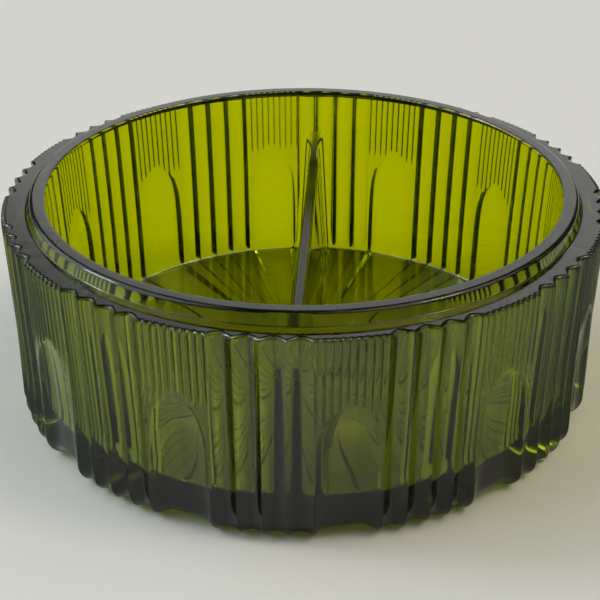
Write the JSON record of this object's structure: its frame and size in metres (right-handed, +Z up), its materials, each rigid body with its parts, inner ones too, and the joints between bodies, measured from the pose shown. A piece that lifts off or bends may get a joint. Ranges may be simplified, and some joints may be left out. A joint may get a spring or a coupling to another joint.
{
  "type": "divided candy dish",
  "caption": "Round pressed-glass dish with a ribbed and scooped wall, a straight divider across the middle, and a flat ledge with a raised collar that seats a lid.",
  "frame": {"origin": "middle of the foot, on the table", "axes": "+Z up out of the dish, +Y along the divider"},
  "size_m": [0.1786, 0.1786, 0.067],
  "materials": {
    "olive_glass": "clear olive green pressed glass, fire-polished"
  },
  "bodies": {
    "root": {"base": "olive_glass", "wall_panel_01": "olive_glass", "wall_panel_02": "olive_glass", "wall_panel_03": "olive_glass", "wall_panel_04": "olive_glass", "wall_panel_05": "olive_glass", "wall_panel_06": "olive_glass", "wall_panel_07": "olive_glass", "wall_panel_08": "olive_glass", "wall_panel_09": "olive_glass", "wall_panel_10": "olive_glass", "wall_panel_11": "olive_glass", "wall_panel_12": "olive_glass", "rim_collar": "olive_glass", "divider": "olive_glass"}
  },
  "joints": []
}
